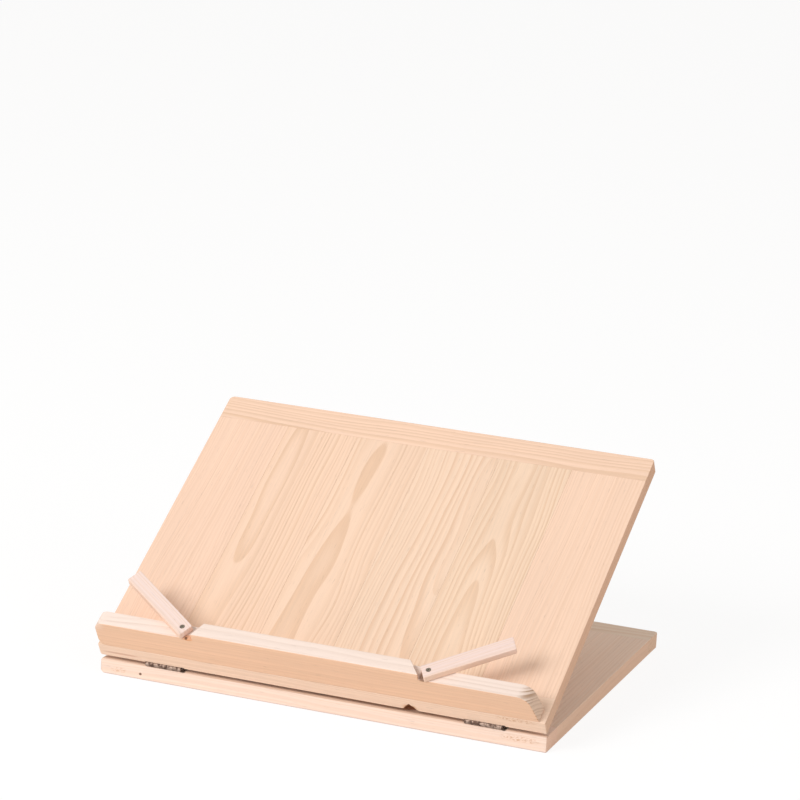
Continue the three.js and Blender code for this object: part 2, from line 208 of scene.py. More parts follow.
def turned(name, rows, low, high):
    """A solid from rows of points round Z, the lowest first, closed by a tip on the axis at
    the height low and one at the height high."""
    count, columns = rows.shape[:2]
    faces = ring_faces(count, columns)
    bottom = count * columns
    last = bottom - columns
    faces += [(bottom, (i + 1) % columns, i) for i in range(columns)]
    faces += [(bottom + 1, last + i, last + (i + 1) % columns) for i in range(columns)]
    tips = [(0, 0, low), (0, 0, high)]
    return mesh_object(name, np.concatenate([rows.reshape(-1, 3), tips]), faces)


def lathe(name, profile, steps=ROUND_STEPS):
    """A turned solid along Z: each (radius, height) of the profile, from the lowest up, is
    carried round. The profile's two ends lie on the axis."""
    profile = np.array(profile, float)
    rows = round_rows(profile[1:-1, :1], profile[1:-1, 1:], steps)
    return turned(name, rows, profile[0, 1], profile[-1, 1])


def moved(piece, matrix):
    """Moves a piece's mesh and leaves its object at the origin."""
    piece.data.transform(matrix)
    return piece


def boolean(piece, other, operation):
    """Joins, cuts or trims one closed mesh with another, which is then removed."""
    modifier = piece.modifiers.new(operation, "BOOLEAN")
    modifier.object = other
    modifier.operation = operation
    modifier.solver = "MANIFOLD"
    graph = bpy.context.evaluated_depsgraph_get()
    made = bpy.data.meshes.new_from_object(piece.evaluated_get(graph))
    if not made.polygons:
        raise RuntimeError(f"{piece.name}: {operation} with {other.name} left nothing")
    spent = [piece.data, other.data]
    piece.modifiers.clear()
    piece.data = made
    bpy.data.objects.remove(other)
    for mesh in spent:
        bpy.data.meshes.remove(mesh)
    return piece


def edit_mesh(mesh, change):
    """Runs one change on a mesh's editable copy, and keeps what it made."""
    work = bmesh.new()
    work.from_mesh(mesh)
    change(work)
    work.to_mesh(mesh)
    work.free()


def merged_copy(node):
    """A CAD node's solid with its triangles joined up, in the frame of its own body."""
    mesh = NODES[node].data.copy()
    edit_mesh(mesh, lambda work: bmesh.ops.remove_doubles(work, verts=work.verts, dist=MERGE))
    return moved(linked(f"{node}_copy", mesh), FRAMES[BODY_OF[node]].inverted())


def finish_piece(piece, node, materials, grain=None):
    """Places a piece that was made in its body's frame, and lets it stand for its node. With a
    grain, each face first keeps how far it looks along it."""
    if grain:
        looks = np.abs(vectors(piece.data.polygons, "normal") @ GRAIN_AXES[grain])
        attribute = piece.data.attributes.new("end_grain_and_side_shade", "FLOAT", "FACE")
        attribute.data.foreach_set("value", looks.astype(np.float32))
    body = BODY_OF[node]
    piece.name = piece.data.name = f"{node}_finished"
    moved(piece, FRAMES[body])
    piece.data.polygons.foreach_set("use_smooth", [True] * len(piece.data.polygons))
    piece.data.set_sharp_from_angle(angle=SHARP_ANGLE)
    piece.data.materials.clear()
    for material in materials:
        piece.data.materials.append(material)
    weighted = piece.modifiers.new("Even shading", "WEIGHTED_NORMAL")
    weighted.keep_sharp = True
    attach(piece, body)
    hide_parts(node)
    return piece


# Materials


def feed(tree, node, inputs):
    """Fills a node's inputs, each with a plain value or from the socket that it is given."""
    for key, value in inputs.items():
        if isinstance(value, bpy.types.NodeSocket):
            tree.links.new(value, node.inputs[key])
        else:
            node.inputs[key].default_value = value
    return node


def add(tree, kind, inputs=None, **settings):
    node = tree.nodes.new(kind)
    for name, value in settings.items():
        setattr(node, name, value)
    return feed(tree, node, inputs or {})


def maths(tree, operation, *values):
    inputs = dict(enumerate(values))
    return add(tree, "ShaderNodeMath", inputs, operation=operation).outputs[0]


def scaled_by(tree, value, factor, offset):
    return maths(tree, "MULTIPLY_ADD", value, factor, offset)


def vector_maths(tree, operation, *values):
    inputs = dict(enumerate(values))
    node = add(tree, "ShaderNodeVectorMath", inputs, operation=operation)
    return node.outputs["Value" if operation == "LENGTH" else "Vector"]


def remap(tree, value, old_low, old_high, new_low=0.0, new_high=1.0):
    """Carries a value smoothly from one range to another."""
    inputs = {0: value, 1: old_low, 2: old_high, 3: new_low, 4: new_high}
    return add(tree, "ShaderNodeMapRange", inputs, interpolation_type="SMOOTHSTEP").outputs[0]


def mix_colours(tree, factor, first, second, blend="MIX"):
    inputs = {0: factor, 6: first, 7: second}
    node = add(tree, "ShaderNodeMix", inputs, data_type="RGBA", blend_type=blend)
    return node.outputs[2]


def stretched_noise(tree, vector, stretch, detail, output="Fac"):
    scaled = vector_maths(tree, "MULTIPLY", vector, stretch)
    inputs = {"Vector": scaled, "Scale": 1.0, "Detail": detail}
    return add(tree, "ShaderNodeTexNoise", inputs).outputs[output]


def bump(tree, height, strength, depth):
    inputs = {"Height": height, "Strength": strength, "Distance": depth}
    return add(tree, "ShaderNodeBump", inputs).outputs["Normal"]


def group_sockets(tree, way, kinds):
    """Adds sockets to a group; each kind is a word such as Float, Color or Vector."""
    for name, kind in kinds.items():
        tree.interface.new_socket(name, in_out=way, socket_type=f"NodeSocket{kind}")


# Pine's unevenness, in waves to a millimetre: across the fibres twice, and along them
DRIFT_WAVES = (0.016, 0.016, 0.0045)
STREAK_WAVES = (0.7, 0.7, 0.007)
FIBRE_WAVES = (3.2, 3.2, 0.07)
DASH_WAVES = (1.5, 1.5, 0.11)
TONE_WAVES = (0.03, 0.03, 0.006)
# How far the rings drift, in millimetres; and waves to a ring and shift in rings of their widths
DRIFT_REACH = (16.0, 16.0, 0.0)
RING_WAVES, RING_REACH = 0.31, 2.6
# The shares of a ring over which its late wood comes and goes, and the faintest ring's strength
LATE_COMES, LATE_GOES, FAINTEST = (0.25, 0.9), (0.93, 1.0), 0.4
# How much of the brightness each unevenness takes or gives, and where dashes begin
STREAK_DEPTH, FIBRE_DEPTH, TONE_DEPTH, DASH_DEPTH = 0.16, 0.12, 0.10, 0.12
DASH_RANGE = (0.68, 0.76)


def pine_group():
    """Pine as a solid: growth rings round a line along Z, fibres along it. The vector is in
    millimetres. A ring's share of dark late wood rises slowly and ends at once."""
    found = bpy.data.node_groups.get("Pine")
    if found:
        return found
    tree = bpy.data.node_groups.new("Pine", "ShaderNodeTree")
    group_sockets(tree, "INPUT", {"Vector": "Vector", "Early Wood": "Color",
                                  "Late Wood": "Color", "Ring Width": "Float",
                                  "Ring Contrast": "Float"})
    group_sockets(tree, "OUTPUT", {"Color": "Color", "Roughness": "Float", "Height": "Float"})
    given = add(tree, "NodeGroupInput").outputs

    place = given["Vector"]
    drift = stretched_noise(tree, place, DRIFT_WAVES, 2.0, "Color")
    drift = vector_maths(tree, "SUBTRACT", drift, (0.5, 0.5, 0.5))
    drift = vector_maths(tree, "MULTIPLY", drift, DRIFT_REACH)
    bent = vector_maths(tree, "ADD", place, drift)
    flat = vector_maths(tree, "MULTIPLY", bent, (1.0, 1.0, 0.0))
    rings = maths(tree, "DIVIDE", vector_maths(tree, "LENGTH", flat), given["Ring Width"])
    inputs = {"W": maths(tree, "MULTIPLY", rings, RING_WAVES), "Scale": 1.0, "Detail": 1.0}
    uneven = add(tree, "ShaderNodeTexNoise", inputs, noise_dimensions="1D").outputs["Fac"]
    rings = scaled_by(tree, uneven, RING_REACH, rings)
    within = maths(tree, "FRACT", rings)
    rise = remap(tree, within, *LATE_COMES)
    fall = remap(tree, within, *LATE_GOES, 1.0, 0.0)
    inputs = {"W": maths(tree, "FLOOR", rings)}
    chance = add(tree, "ShaderNodeTexWhiteNoise", inputs, noise_dimensions="1D")
    strength = scaled_by(tree, chance.outputs["Value"], 1 - FAINTEST, FAINTEST)
    late = maths(tree, "MULTIPLY", maths(tree, "MULTIPLY", rise, fall), strength)

    streaks = stretched_noise(tree, place, STREAK_WAVES, 3.0)
    fibres = stretched_noise(tree, place, FIBRE_WAVES, 2.0)
    dashes = remap(tree, stretched_noise(tree, place, DASH_WAVES, 1.0), *DASH_RANGE)
    tone = stretched_noise(tree, place, TONE_WAVES, 1.0)

    share = maths(tree, "MULTIPLY", late, given["Ring Contrast"])
    colour = mix_colours(tree, share, given["Early Wood"], given["Late Wood"])
    value = 1.0
    for source, depth in ((streaks, STREAK_DEPTH), (fibres, FIBRE_DEPTH), (tone, TONE_DEPTH)):
        value = maths(tree, "MULTIPLY", value, scaled_by(tree, source, depth, 1 - depth / 2))
    value = maths(tree, "MULTIPLY", value, scaled_by(tree, dashes, -DASH_DEPTH, 1.0))
    lit = add(tree, "ShaderNodeVectorMath", {0: colour, "Scale": value}, operation="SCALE")

    rough = scaled_by(tree, late, -0.08, scaled_by(tree, fibres, 0.22, 0.50))
    height = scaled_by(tree, dashes, -0.6, scaled_by(tree, late, 0.5, fibres))
    outputs = {"Color": lit.outputs["Vector"], "Roughness": rough, "Height": height}
    add(tree, "NodeGroupOutput", outputs)
    return tree


def seen_from(tree, place, scale):
    """Object coordinates as seen from a place in the model, in units of scale."""
    coordinates = add(tree, "ShaderNodeTexCoord").outputs["Object"]
    inputs = {"Vector": coordinates, "Location": place.to_translation(),
              "Rotation": place.to_euler(), "Scale": scale}
    return add(tree, "ShaderNodeMapping", inputs, vector_type="TEXTURE").outputs["Vector"]


def new_material(name):
    """A material with nodes, and its tree and shader."""
    material = bpy.data.materials.new(name)
    material.use_nodes = True
    return material, material.node_tree, material.node_tree.nodes["Principled BSDF"]


# A broken mark's dashes: waves to a millimetre along X, Y and Z, and where they begin
BREAK_WAVES, BREAK_RANGE = (0.45, 0.9, 1.6), (0.48, 0.6)


class Spot:
    """A mark on a board, or painted shade on it: an egg about a point of the board's body, with
    both its place and its radii in millimetres. The colour is drawn towards a shade by the
    mark's strength, less and less from half of the radii on. A broken mark shows only in short
    dashes along X."""

    def __init__(self, body, point_mm, radii_mm, shade, strength, broken=False):
        self.place = FRAMES[body] @ Matrix.Translation([part * MM for part in point_mm])
        self.radii = [radius * MM for radius in radii_mm]
        self.shade = shade
        self.strength = strength
        self.broken = broken

    def lay(self, tree, colour):
        vector = seen_from(tree, self.place, self.radii)
        inside = remap(tree, vector_maths(tree, "LENGTH", vector), 0.5, 1.0, self.strength, 0.0)
        if self.broken:
            near = seen_from(tree, self.place, (MM, MM, MM))
            dashes = remap(tree, stretched_noise(tree, near, BREAK_WAVES, 2.0), *BREAK_RANGE)
            inside = maths(tree, "MULTIPLY", inside, dashes)
        return mix_colours(tree, inside, colour, (*self.shade, 1))


# Brings the highest value of s * s * (1 - s), which is 4 / 27, to about one
SLANT_SCALE = 7


def pine_material(name, place, colours, contrast=None, spots=(), tint=None):
    """Pine whose grain runs along Z of a place in the model. The colours are those of early
    and late wood. The contrast is the rings' where a face follows the fibres, and what is
    added where it cuts them aslant. A face attribute tells how far a face cuts across the
    fibres, where wood drinks in light and takes the tint; on the panels it tells how far a
    face looks to a side, where the tint also paints the side faces' shade."""
    wood = bpy.context.scene.book_stand_wood
    material, tree, shader = new_material(name)
    (early, late), (along, aslant) = colours, contrast or (wood.ring_contrast, 0)
    across = add(tree, "ShaderNodeAttribute", attribute_name="end_grain_and_side_shade").outputs["Fac"]
    steep = maths(tree, "MULTIPLY", across, across)
    slant = maths(tree, "MULTIPLY", steep, maths(tree, "SUBTRACT", 1.0, across))
    inputs = {"Vector": seen_from(tree, place, (MM, MM, MM)), "Early Wood": (*early, 1),
              "Late Wood": (*late, 1), "Ring Width": wood.ring_width / MM,
              "Ring Contrast": scaled_by(tree, slant, SLANT_SCALE * aslant, along)}
    pine = add(tree, "ShaderNodeGroup", inputs, node_tree=pine_group()).outputs
    tint = (*(tint or wood.end_grain_tint), 1)
    darker = mix_colours(tree, 1.0, pine["Color"], tint, "MULTIPLY")
    colour = mix_colours(tree, steep, pine["Color"], darker)
    for mark in spots:
        colour = mark.lay(tree, colour)
    feed(tree, shader, {"Base Color": colour, "Roughness": pine["Roughness"],
                        "Specular IOR Level": 0.18,
                        "Normal": bump(tree, pine["Height"], 0.35, 0.12 * MM)})
    return material


# Waves to a metre of the fine brushing along X, and the noise over which a film sets in
BRUSH_WAVES, FILM_RANGE = (900.0, 9000.0, 9000.0), (0.4, 0.62)


def metal_material(name, colour, film_colour, roughness, patch_size, film):
    """Pressed or plated metal: fine brushing along X, and a darker film in patches."""
    material, tree, shader = new_material(name)
    coordinates = add(tree, "ShaderNodeTexCoord").outputs["Object"]
    brushing = stretched_noise(tree, coordinates, BRUSH_WAVES, 2.0)
    patches = remap(tree, stretched_noise(tree, coordinates, (1 / patch_size,) * 3, 3.0),
                    *FILM_RANGE)
    share = maths(tree, "MULTIPLY", patches, film)
    rough = scaled_by(tree, patches, 0.15, scaled_by(tree, brushing, 0.2, roughness - 0.1))
    feed(tree, shader, {"Base Color": mix_colours(tree, share, (*colour, 1), (*film_colour, 1)),
                        "Metallic": 1.0, "Roughness": rough,
                        "Normal": bump(tree, brushing, 0.25, 0.02 * MM)})
    return material


# Each metal's name, the size of its film's patches, and how far they cover it
METALS = {"hinge": ("Hinge steel", 2.6 * MM, 0.95), "zinc": ("Zinc screw", 2 * MM, 0.5),
          "dark": ("Dark screw", 2 * MM, 0.6)}


def metal(kind):
    """The finish of the hinges, the zinc screws or the dark ones, made at its first use."""
    finish = bpy.context.scene.book_stand_metal
    name, patch_size, film = METALS[kind]
    colour, film_colour, roughness = (getattr(finish, f"{kind}_{part}")
                                      for part in ("colour", "film", "roughness"))
    return bpy.data.materials.get(name) or metal_material(
        name, colour, film_colour, roughness, patch_size, film)


# Boards

# Columns of these turns are two directions across the grain and the one along it
GRAIN_TURNS = {
    "x": Matrix(((0, 0, 1), (1, 0, 0), (0, 1, 0))).to_4x4(),
    "y": Matrix(((0, 1, 0), (0, 0, 1), (1, 0, 0))).to_4x4(),
}
GRAIN_AXES = {"x": np.array([1.0, 0, 0]), "y": np.array([0, 1.0, 0])}

# Where a log's heart lies from a board, in millimetres aside and up: from a board that was sawn
# upright, from one that was sawn flat, and from the ledge
UPRIGHT = (90, -12)
FLAT = (0, -95)
LEDGE_SAWN = (-48, -66)
# How far it lies aside and up from any other board, and how many degrees it leans
HEART_ASIDE, HEART_UP, HEART_LEAN = 26, (16, 58), 1.6


class Timber:
    """Deals out, from one seed, how each board was sawn from its log."""

    def __init__(self, seed):
        self.dice = np.random.default_rng(seed)

    def heart(self, body, low, high, grain, sawn=None):
        """The log's heart beside a board: its place in the model, leaning a little. A heart
        above or below the board gives rings that run out of the face in long arches. With
        sawn, it lies that far aside and up, and the board shows straighter lines."""
        middle = (low + high) / 2
        aside = self.dice.uniform(-HEART_ASIDE, HEART_ASIDE) * MM
        up = self.dice.uniform(*HEART_UP) * MM * self.dice.choice([-1, 1])
        lean = np.radians(self.dice.uniform(-HEART_LEAN, HEART_LEAN, 2))
        if sawn:
            aside, up, lean = sawn[0] * MM, sawn[1] * MM, lean / 4
        offset = (aside, 0, up) if grain == "y" else (0, aside, up)
        place = Matrix.Translation(Vector(middle) + Vector(offset)) @ GRAIN_TURNS[grain]
        return FRAMES[body] @ place @ Euler((*lean, 0)).to_matrix().to_4x4()

    def tone(self, colour, spread=0.035):
        """The colour of one board, a little off the common one."""
        return [part * self.dice.uniform(1 - spread, 1) for part in colour]


def front_view(back_y):
    """Stands a slab up, so that its outline lies in the XZ plane and its thickness runs
    forward from back_y."""
    turn = Matrix(((1, 0, 0), (0, 0, -1), (0, 1, 0))).to_4x4()
    return Matrix.Translation((0, back_y, 0)) @ turn


def whole_panel(low, high, wood, side_radii):
    """A panel in one piece: round in plan at its corners, and once more, seen from the front,
    along its left side, with a radius below and one above."""
    plan = rectangle(low + SKIN, high - SKIN, [r - SKIN for r in wood.panel_corners])
    whole = slab("panel", plan, low[2] + SKIN, high[2] - SKIN, wood.arris)
    profile = rectangle((low[0] + SKIN, low[2] + SKIN), (high[0] + OVERRUN, high[2] - SKIN),
                        (side_radii[0], SKIN, SKIN, side_radii[1]))
    trim = slab("trim", profile, -OVERRUN, high[1] - low[1] + OVERRUN, SKIN)
    return boolean(whole, moved(trim, front_view(high[1])), "INTERSECT")


def panel_saw(node):
    """How a panel's board was sawn: front cleats flat, end staves upright, others by chance."""
    if node.endswith("_front_cleat"):
        return FLAT
    return UPRIGHT if node.endswith(("_stave_1", "_stave_6")) else None


# Half width and half height of the torn wood round the chip, its depth, and how far its middle
# lies to the right of the chip
HOLLOW = {"across": 7 * MM, "up": 5.8 * MM, "depth": 0.9 * MM, "aside": 0.7 * MM}
HOLLOW_POINTS = 26
RAGGED = (0.84, 1.1)


def torn_hollow(seed):
    """A cutter for the torn wood round the chip: at an angle a, its rim lies at
    (across cos a, up sin a) from the chip's foot, in or out by a dealt share, and its floor
    at half of that, deeper by its depth."""
    a = np.linspace(0, -2 * math.pi, HOLLOW_POINTS, endpoint=False)
    share = np.random.default_rng(seed).uniform(*RAGGED, HOLLOW_POINTS)
    across, up = HOLLOW["across"] * np.cos(a) * share, HOLLOW["up"] * np.sin(a) * share
    low = local_box("rest_front_cleat")[0]
    rings = [np.stack([chip_middle() + HOLLOW["aside"] + size * across,
                       np.full(HOLLOW_POINTS, low[1] + y), low[2] + size * up], -1)
             for size, y in ((1, -OVERRUN), (1, 0), (0.5, HOLLOW["depth"]))]
    caps = [list(range(HOLLOW_POINTS))[::-1], list(range(2 * HOLLOW_POINTS, 3 * HOLLOW_POINTS))]
    return mesh_object("torn_hollow", np.concatenate(rings),
                       ring_faces(3, HOLLOW_POINTS) + caps)


def make_panel(prefix, early_wood, side_grain_and_shade, side_radii, marks, timber):
    """One panel, cut into its boards. All of them mark the faces that look left or right as
    end grain, so that the panel's sides take the side tint from front to back: the tint is
    partly the cleats' end grain and partly painted warm shade of the side faces."""
    wood = bpy.context.scene.book_stand_wood
    boards = {f"{prefix}_front_cleat": "x", f"{prefix}_rear_cleat": "x"}
    boards |= {node: "y" for node in NODES if node.startswith(f"{prefix}_stave_")}
    whole = whole_panel(*local_box(*boards), wood, side_radii)
    body = BODY_OF[f"{prefix}_front_cleat"]
    for node in sorted(boards):
        board = boolean(linked(node, whole.data.copy()), merged_copy(node), "INTERSECT")
        if node == "rest_front_cleat":
            boolean(board, torn_hollow(wood.seed), "DIFFERENCE")
        sawn = panel_saw(node)
        place = timber.heart(body, *local_box(node), boards[node], sawn)
        colours = timber.tone(early_wood), timber.tone(wood.late_wood)
        contrast = (wood.sawn_contrast, 0) if sawn else None
        material = pine_material(f"Pine {node}", place, colours, contrast, marks.get(node, ()),
                                 side_grain_and_shade)
        finish_piece(board, node, [material], "x")
    bpy.data.objects.remove(whole)


def seat_end_shade(front, height):
    """Rows of two marks of painted shade, which darken the holes at the right ends of the front hinges' seats."""
    leaves = [f"{side}_front_hinge_base_leaf" for side in ("left", "right")]
    return [((local_box(leaf)[1][0] / MM + 1.4, front + 3, height), (2.4, 14, 1.7),
             (0.05, 0.03, 0.02), 0.85) for leaf in leaves]


def base_marks_and_shade():
    """The marks in the front of the base's front cleat, and painted shade on it."""
    low, high = np.array(local_box("base_front_cleat")) / MM
    front, bottom, top, fibres = low[1], low[2], high[2], (0.62, 0.36, 0.2)
    rows = [
        # Painted shade: brown on the upper edge, in the gap under the book rest; grey on the lower edge, where it
        # meets the floor; and reddish brown on the top, in the gap that shows through the chip
        ((-30, front + 1.6, top), (300, 4, 1.7), (0.5, 0.3, 0.19), 0.7),
        ((0, front + 1.6, bottom), (600, 4, 1.2), (0.55, 0.42, 0.4), 0.6),
        ((chip_middle() / MM - 4, front + 11, top), (11, 9.5, 2), (0.6, 0.24, 0.09), 0.8),
        *seat_end_shade(front, top),
        # A pin knot, and dark fibres at the left and the right
        ((-127, front, 3.8), (1.3, 2, 1.1), (0.12, 0.05, 0.02), 0.9),
        ((-142.5, front, 4), (7, 2, 2.6), fibres, 0.5, True),
        ((138, front, 6.2), (17, 2, 2.4), fibres, 0.7, True),
    ]
    return {"base_front_cleat": [Spot("base", *row) for row in rows]}


def rest_marks_and_shade():
    """The marks in the front of the book rest's front cleat, and painted shade in its chip."""
    low, high = np.array(local_box("rest_front_cleat")) / MM
    front, bottom, top = low[1], low[2], high[2]
    chip = (chip_middle() / MM, front + 3.4, bottom)
    rows = [
        # The torn inside of the chip, its own torn wood darkened partly by painted shade, and painted shade darker
        # still in its deep core
        (chip, (10, 4.2, 9), (0.72, 0.42, 0.2), 0.8),
        (chip, (6.5, 5, 6), (0.52, 0.2, 0.08), 0.9),
        *seat_end_shade(front, bottom),
        # A streak at the left, and dark fibres at the right
        ((-140, front, bottom + 4), (16, 2, 1), (0.6, 0.34, 0.24), 0.6),
        ((136, front, top - 2), (17, 2, 2.4), (0.6, 0.33, 0.17), 0.7, True),
    ]
    return {"rest_front_cleat": [Spot("book_rest", *row) for row in rows]}


def chip_middle():
    """The chip's place along the book rest, from its highest point in the front face."""
    points = local_points("rest_front_cleat")
    low, high = points.min(0), points.max(0)
    front = points[points[:, 1] < low[1] + SKIN]
    peak = front[(front[:, 2] > low[2] + OVERRUN) & (front[:, 2] < high[2] - OVERRUN)]
    return peak[:, 0].mean()


def step_places(points, low, high):
    """X places of the ledge's taller middle, in front and behind, left and right."""
    tall = points[points[:, 2] > high[2] - SKIN]
    front = tall[tall[:, 1] < low[1] + SKIN][:, 0]
    back = tall[tall[:, 1] > high[1] - SKIN][:, 0]
    return front.min(), front.max(), back.max(), back.min()


def make_ledge(timber):
    """The ledge: a bar with round ends, and a taller middle whose ends are cut aslant. Its
    front face has a warmer, darker wood than the rest of it: partly its own colour, and partly
    painted shade, as that face looks down and forward."""
    wood = bpy.context.scene.book_stand_wood
    edge = wood.arris
    points = local_points("ledge")
    low, high = local_box("ledge")
    left_front, right_front, right_back, left_back = step_places(points, low, high)
    low_top = points[points[:, 0] > right_front + SKIN][:, 2].max()
    corners = [(low[0], low[2]), (high[0], low[2]),
               (high[0] - wood.ledge_right_lean, low_top), (low[0], low_top)]
    ledge = slab("ledge", round_polygon(corners, wood.ledge_corners), 0, high[1] - low[1], edge)
    moved(ledge, front_view(high[1]))
    corners = [(left_front, low[1]), (right_front, low[1]),
               (right_back, high[1]), (left_back, high[1])]
    middle = slab("ledge_middle", round_polygon(corners, edge), low[2], high[2], edge)
    boolean(ledge, middle, "UNION")
    for node in ("left_clip_screw", "right_clip_screw", "ledge_screw_left",
                 "ledge_screw_middle", "ledge_screw_right"):
        boolean(ledge, screw_bore(node), "DIFFERENCE")
    front = vectors(ledge.data.polygons, "normal")[:, 1] < -0.5
    place = timber.heart("book_rest", low, high, "x", LEDGE_SAWN)
    near, left, right, foot = np.array((low[1], left_front, right_front, low_top)) / MM
    rows = [
        # Painted shade: warm brown at the foot of the left step with a darker dot in its corner, and dark brown at
        # the foot of the right one
        ((left - 2.5, near + 1, foot), (4.5, 3.5, 2.5), (0.75, 0.33, 0.14), 0.75),
        ((left - 3.6, near + 0.6, foot), (1.3, 1.3, 1.6), (0.1, 0.04, 0.02), 0.85),
        ((right + 2.5, near + 4.5, foot), (4.5, 9, 1.6), (0.22, 0.11, 0.06), 0.85),
        # The pale left end
        ((low[0] / MM, high[1] / MM, foot), (13, 16, 13), wood.ledge_top, 0.9),
    ]
    shade_and_pale_end = [Spot("book_rest", *row) for row in rows]
    top = pine_material("Pine ledge", place, (wood.ledge_top, wood.ledge_late),
                        (wood.ledge_contrast, wood.slant_contrast), shade_and_pale_end)
    # The front's warmer, darker colours are partly the wood's own and partly painted shade of a face that looks
    # down
    face = pine_material("Pine ledge front", place, (wood.ledge_face, wood.ledge_face_late),
                         (wood.face_contrast, wood.slant_contrast), shade_and_pale_end)
    finish_piece(ledge, "ledge", [top, face], "x")
    ledge.data.polygons.foreach_set("material_index", front.astype(np.int32))


def make_clip(side, timber):
    wood = bpy.context.scene.book_stand_wood
    node = f"{side}_page_clip"
    low, high = local_box(node)
    # Both ends lean the same way, so two opposite corners are drawn in by the lean
    first, second = (wood.clip_lean, 0) if side == "left" else (0, wood.clip_lean)
    corners = [(low[0] + first, low[1]), (high[0] - second, low[1]),
               (high[0] - first, high[1]), (low[0] + second, high[1])]
    clip = slab(node, round_polygon(corners, wood.clip_corner), low[2], high[2], wood.clip_arris)
    boolean(clip, screw_bore(f"{side}_clip_screw", f"{side}_clip"), "DIFFERENCE")
    place = timber.heart(f"{side}_clip", low, high, "x", UPRIGHT)
    colours = timber.tone(wood.clip_wood, 0.01), wood.clip_late
    # Painted shade on the clip's near side, warm as from the light that the ledge throws back on it
    painted_side_shade = Spot(f"{side}_clip", (0, low[1] / MM - 1, low[2] / MM), (160, 2.1, 12),
                     (0.85, 0.56, 0.38), 0.55)
    material = pine_material(f"Pine {node}", place, colours, spots=[painted_side_shade],
                             tint=wood.clip_end_tint)
    finish_piece(clip, node, [material], "x")


def make_flap(timber):
    wood = bpy.context.scene.book_stand_wood
    low, high = local_box("prop_flap")
    shape = rectangle(low + SKIN, high - SKIN, wood.flap_corner)
    flap = slab("prop_flap", shape, low[2] + SKIN, high[2] - SKIN, wood.arris)
    boolean(flap, merged_copy("prop_flap"), "INTERSECT")
    place = timber.heart("prop", low, high, "y")
    material = pine_material("Pine prop_flap", place, (wood.early_wood, wood.late_wood))
    finish_piece(flap, "prop_flap", [material], "y")


# Screws

# The play round a screw in its hole
BORE_PLAY = 0.2 * MM
# Rows of points to a turn of the thread, the groove's share of the shank's radius, and how
# steeply it rises: below one, it leaves a sharp ridge
THREAD_ROWS, THREAD_DEPTH, THREAD_SHARPNESS = 8, 0.28, 0.7
# Shares of the head's radius: its softened rim, and a recess wing's reach and half width
RIM, WING_REACH, WING_WIDTH = 0.06, 0.58, 0.15
# The wing's depth as a share of the head's height, and the share of its width at its floor
WING_DEPTH, WING_TAPER = 0.62, 0.45
# How far a thread climbs in a turn, by a word in the screws' names
PITCHES = {"ledge": 1.4 * MM, "clip": 1.3 * MM, "hinge": 0.9 * MM}


def screw_sizes(node):
    """A CAD screw's axis, the height of its head's face, which way that looks, and its sizes."""
    points = local_points(node)
    low, high = points.min(0), points.max(0)
    centre = (low + high) / 2
    reach = np.hypot(points[:, 0] - centre[0], points[:, 1] - centre[1])
    head_radius = reach.max()
    head_z = points[reach > head_radius - MERGE][0, 2]
    up = 1.0 if head_z > centre[2] else -1.0
    depth = (head_z - points[:, 2]) * up
    length = depth.max()
    shank = (depth > length / 2) & (reach > MERGE)
    shank_radius = reach[shank].max()
    shank_start = depth[np.abs(reach - shank_radius) < MERGE].min()
    return {"axis": (centre[0], centre[1], head_z), "up": up, "head": head_radius,
            "shank": shank_radius, "neck": shank_start, "length": length,
            "taper": depth[shank].max()}


def screw_place(sizes):
    """From a screw drawn with its head's face at the origin, looking up, to its own place."""
    turn = Matrix.Rotation(0 if sizes["up"] > 0 else math.pi, 4, "X")
    return Matrix.Translation(sizes["axis"]) @ turn


def screw_bore(node, body=None):
    """The hole for a screw, with its countersink, in its own body's frame or another's."""
    sizes = screw_sizes(node)
    wide, narrow = sizes["head"] + BORE_PLAY, sizes["shank"] + BORE_PLAY
    deep = sizes["length"] + BORE_PLAY
    profile = [(0, -deep), (narrow, -deep), (narrow, -sizes["neck"] - BORE_PLAY), (wide, 0),
               (wide, OVERRUN), (0, OVERRUN)]
    bore = moved(lathe("bore", profile), screw_place(sizes))
    if body:
        moved(bore, FRAMES[body].inverted() @ FRAMES[BODY_OF[node]])
    return bore


def threaded_shank(sizes, pitch):
    """Rows of points of a threaded shank. At the height z and the angle t, its radius is less
    than the shank's by a groove that is deepest halfway through the phase z / pitch - t / turn,
    and that fades out towards the neck."""
    start, end = -sizes["neck"], -sizes["taper"]
    z = np.linspace(end, start, int((start - end) / pitch * THREAD_ROWS) + 2)[:, None]
    t = np.linspace(0, 2 * math.pi, ROUND_STEPS, endpoint=False)
    phase = (z / pitch - t / (2 * math.pi)) % 1.0
    groove = THREAD_DEPTH * sizes["shank"] * (1 - np.abs(2 * phase - 1)) ** THREAD_SHARPNESS
    fade = np.clip((start - z) / (2 * pitch), 0, 1)
    return round_rows(sizes["shank"] - groove * fade, z)


def make_screw(node, material, pitch):
    """A countersunk screw: a flat head with a softened rim and a cross recess, a threaded
    shank and a point."""
    sizes = screw_sizes(node)
    head, rim = sizes["head"], RIM * sizes["head"]
    cone = np.array([(head, -rim), (head - 0.3 * rim, -0.3 * rim), (head - rim, 0)])
    rows = np.concatenate([threaded_shank(sizes, pitch), round_rows(cone[:, :1], cone[:, 1:])])
    screw = turned(node, rows, -sizes["length"], 0)
    for angle in (0, math.pi / 2):
        boolean(screw, moved(cross_wing(sizes), Matrix.Rotation(angle, 4, "Z")), "DIFFERENCE")
    moved(screw, screw_place(sizes))
    return finish_piece(screw, node, [material])


